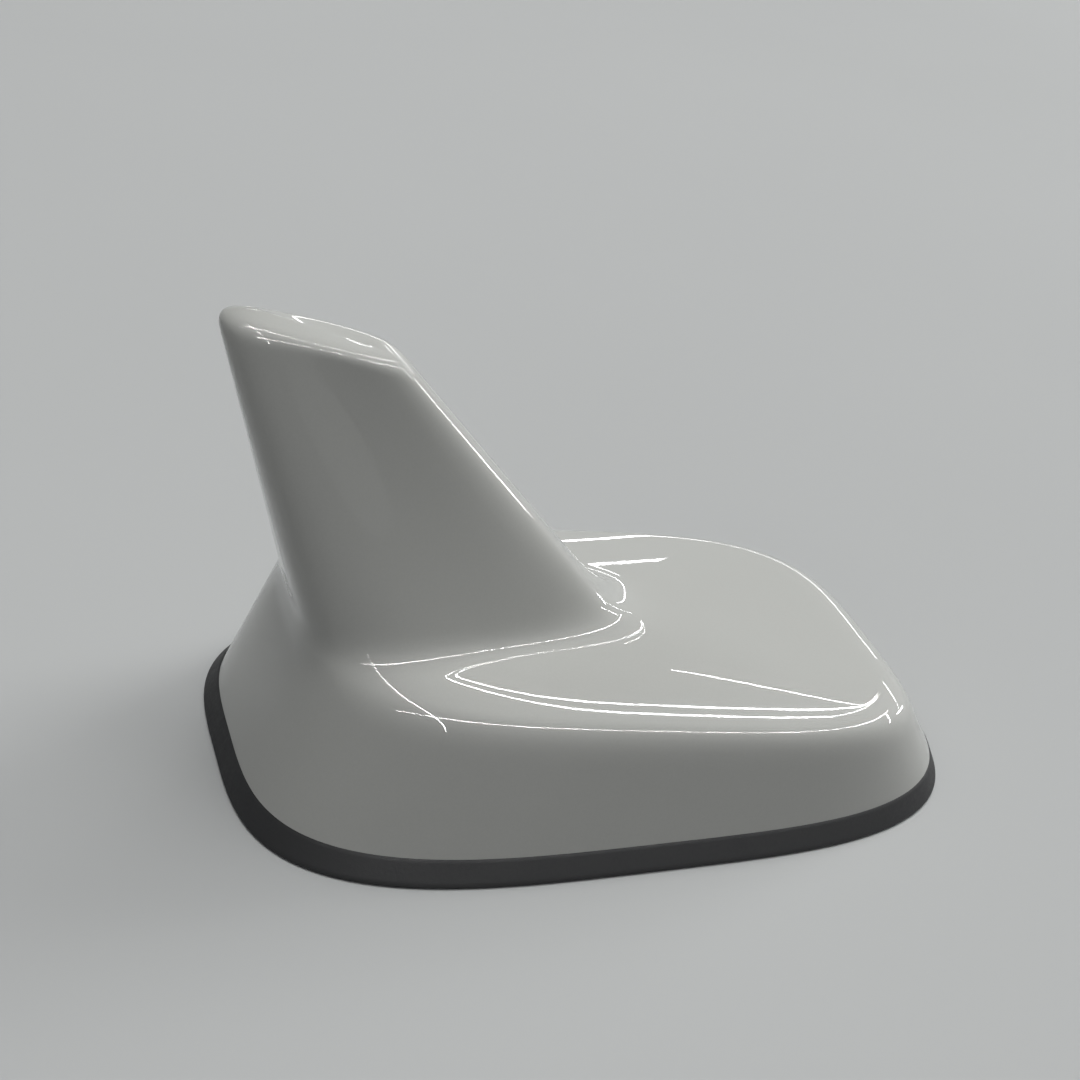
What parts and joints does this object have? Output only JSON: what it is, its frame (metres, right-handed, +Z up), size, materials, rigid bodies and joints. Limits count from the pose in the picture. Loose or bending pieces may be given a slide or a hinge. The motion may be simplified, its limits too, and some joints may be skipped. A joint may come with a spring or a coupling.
{
  "type": "car roof antenna",
  "caption": "Swept-fin roof antenna: painted cover on a rubber gasket, with boards and radiators inside, and a stud, clamping plate, nut and coaxial sockets below",
  "frame": {"origin": "on the mounting stud's axis, in the plane of the gasket's underside, which is the roof skin's outer face", "axes": "+X towards the front of the car, +Y to its left, +Z up out of the roof"},
  "size_m": [0.1277, 0.068, 0.0929],
  "materials": {
    "cover_paint": "moulded plastic under pale warm grey clear-coated paint",
    "gasket_rubber": "matt black moulded rubber",
    "seal_silicone": "dark silicone",
    "cast_aluminium": "die-cast, as cast",
    "zinc_steel": "zinc-plated",
    "spring_steel": "bright spring strip",
    "tin_plate": "tinned sheet",
    "green_laminate": "glass-fibre laminate under green solder resist",
    "black_epoxy": "moulded chip packages",
    "patch_ceramic": "fired dielectric ceramic",
    "silver_face": "fired silver",
    "copper_wire": "enamelled copper",
    "bronze_sheet": "stamped phosphor bronze",
    "white_nylon": "moulded nylon",
    "black_foam": "closed-cell foam",
    "black_nylon": "glass-filled nylon",
    "port_brass": "gold-plated brass",
    "vent_film": "porous white membrane"
  },
  "bodies": {
    "root": {"cover_shell": "cover_paint", "roof_gasket": "gasket_rubber", "base_plate": "cast_aluminium", "cover_seal": "seal_silicone", "cover_screws": "zinc_steel", "main_board": "green_laminate", "board_screws": "zinc_steel", "gnss_patch": "patch_ceramic", "gnss_electrode": "silver_face", "gnss_pin": "tin_plate", "shield_can": "tin_plate", "board_chips": "black_epoxy", "fin_board": "green_laminate", "loading_coil": "copper_wire", "top_load_plate": "bronze_sheet", "element_holder": "white_nylon", "foam_block": "black_foam", "phone_element": "bronze_sheet", "feed_clip": "bronze_sheet", "socket_block": "black_nylon", "socket_shields": "port_brass", "socket_contacts": "port_brass", "mounting_stud": "zinc_steel", "claw_plate": "zinc_steel", "hex_nut": "zinc_steel", "retaining_clips": "spring_steel", "vent_membrane": "vent_film"}
  },
  "joints": []
}
